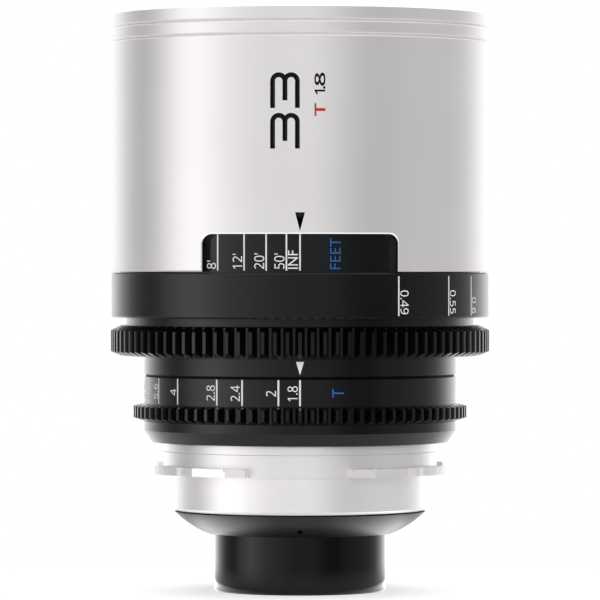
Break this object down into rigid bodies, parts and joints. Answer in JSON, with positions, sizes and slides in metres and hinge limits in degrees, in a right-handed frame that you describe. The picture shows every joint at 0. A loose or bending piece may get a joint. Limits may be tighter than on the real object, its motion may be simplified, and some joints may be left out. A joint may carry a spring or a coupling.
{
  "type": "cinema prime lens",
  "caption": "Cinema prime lens with a bayonet camera mount, geared focus and aperture rings, a scale window in its silver front barrel and a working iris and focus cam inside.",
  "frame": {"origin": "bottom centre: the optical axis at the rear end that the lens stands on", "axes": "+Z along the optical axis towards the front glass, -Y towards the index marks"},
  "size_m": [0.08, 0.08, 0.1218],
  "materials": {
    "silver_anodised": "satin clear anodised, finely turned",
    "black_anodised": "satin black anodised aluminium",
    "gloss_black": "gloss black",
    "steel": "turned steel",
    "brass": "turned brass",
    "optical_glass": "polished and coated",
    "slip_plastic": "dark slippery plastic"
  },
  "bodies": {
    "lens_body": {"front_barrel": "silver_anodised", "front_ring": "black_anodised", "front_retaining_ring": "black_anodised", "front_cell": "black_anodised", "front_element": "optical_glass", "second_element": "optical_glass", "third_element": "optical_glass", "front_spacer": "black_anodised", "cell_retaining_ring": "black_anodised", "cell_key": "steel", "barrel_screws": "steel", "main_barrel": "black_anodised", "focus_stop_pin": "steel", "thrust_washer": "slip_plastic", "iris_washer": "slip_plastic", "index_ring": "black_anodised", "index_screws": "steel", "rear_housing": "black_anodised", "housing_screws": "steel", "mount_shim": "brass", "bayonet_mount": "silver_anodised", "mount_screws": "steel", "rear_cone": "black_anodised", "cone_screws": "steel", "rear_tube": "gloss_black", "rear_inner_element": "optical_glass", "rear_middle_element": "optical_glass", "rear_element": "optical_glass", "rear_spacer": "black_anodised", "rear_lock_ring": "black_anodised", "rear_retaining_ring": "black_anodised", "iris_housing": "black_anodised", "iris_retainer": "black_anodised", "iris_retainer_screws": "steel"},
    "focus_unit": {"focus_ring": "black_anodised", "cam_sleeve": "steel", "cam_screws": "steel"},
    "focus_group": {"focus_carrier": "black_anodised", "focus_front_element": "optical_glass", "focus_rear_element": "optical_glass", "focus_spacer": "black_anodised", "focus_retaining_ring": "black_anodised", "cam_followers": "brass"},
    "aperture_unit": {"iris_ring": "black_anodised", "iris_drive_ring": "steel", "iris_drive_pin": "steel"},
    "blade_1": {"iris_blade_1": "gloss_black"},
    "blade_2": {"iris_blade_2": "gloss_black"},
    "blade_3": {"iris_blade_3": "gloss_black"},
    "blade_4": {"iris_blade_4": "gloss_black"},
    "blade_5": {"iris_blade_5": "gloss_black"},
    "blade_6": {"iris_blade_6": "gloss_black"},
    "blade_7": {"iris_blade_7": "gloss_black"},
    "blade_8": {"iris_blade_8": "gloss_black"}
  },
  "joints": [
    {"name": "focus_turn", "type": "hinge", "parent": "lens_body", "child": "focus_unit", "pos_m": [0, 0, 0.0525], "axis": [0, 0, 1], "range_deg": [0, 150]},
    {"name": "focus_slide", "type": "slide", "parent": "lens_body", "child": "focus_group", "axis": [0, 0, 1], "range_m": [0, 0.0057]},
    {"name": "iris_turn", "type": "hinge", "parent": "lens_body", "child": "aperture_unit", "pos_m": [0, 0, 0.041], "axis": [0, 0, 1], "range_deg": [0, 85.4]},
    {"name": "blade_1_pivot", "type": "hinge", "parent": "lens_body", "child": "blade_1", "pos_m": [0, -0.021, 0.0378], "axis": [0, 0, 1], "range_deg": [0, 25.5]},
    {"name": "blade_2_pivot", "type": "hinge", "parent": "lens_body", "child": "blade_2", "pos_m": [0.01485, -0.01485, 0.0378], "axis": [0, 0, 1], "range_deg": [0, 25.5]},
    {"name": "blade_3_pivot", "type": "hinge", "parent": "lens_body", "child": "blade_3", "pos_m": [0.021, 0, 0.0378], "axis": [0, 0, 1], "range_deg": [0, 25.5]},
    {"name": "blade_4_pivot", "type": "hinge", "parent": "lens_body", "child": "blade_4", "pos_m": [0.01485, 0.01485, 0.0378], "axis": [0, 0, 1], "range_deg": [0, 25.5]},
    {"name": "blade_5_pivot", "type": "hinge", "parent": "lens_body", "child": "blade_5", "pos_m": [0, 0.021, 0.0378], "axis": [0, 0, 1], "range_deg": [0, 25.5]},
    {"name": "blade_6_pivot", "type": "hinge", "parent": "lens_body", "child": "blade_6", "pos_m": [-0.01485, 0.01485, 0.0378], "axis": [0, 0, 1], "range_deg": [0, 25.5]},
    {"name": "blade_7_pivot", "type": "hinge", "parent": "lens_body", "child": "blade_7", "pos_m": [-0.021, 0, 0.0378], "axis": [0, 0, 1], "range_deg": [0, 25.5]},
    {"name": "blade_8_pivot", "type": "hinge", "parent": "lens_body", "child": "blade_8", "pos_m": [-0.01485, -0.01485, 0.0378], "axis": [0, 0, 1], "range_deg": [0, 25.5]}
  ],
  "couplings": [
    {"joint": "focus_slide", "follows": "focus_turn", "m_per_rad": 0.002139},
    {"joint": "blade_1_pivot", "follows": "iris_turn", "ratio": 0.29731},
    {"joint": "blade_2_pivot", "follows": "iris_turn", "ratio": 0.29731},
    {"joint": "blade_3_pivot", "follows": "iris_turn", "ratio": 0.29731},
    {"joint": "blade_4_pivot", "follows": "iris_turn", "ratio": 0.29731},
    {"joint": "blade_5_pivot", "follows": "iris_turn", "ratio": 0.29731},
    {"joint": "blade_6_pivot", "follows": "iris_turn", "ratio": 0.29731},
    {"joint": "blade_7_pivot", "follows": "iris_turn", "ratio": 0.29731},
    {"joint": "blade_8_pivot", "follows": "iris_turn", "ratio": 0.29731}
  ]
}
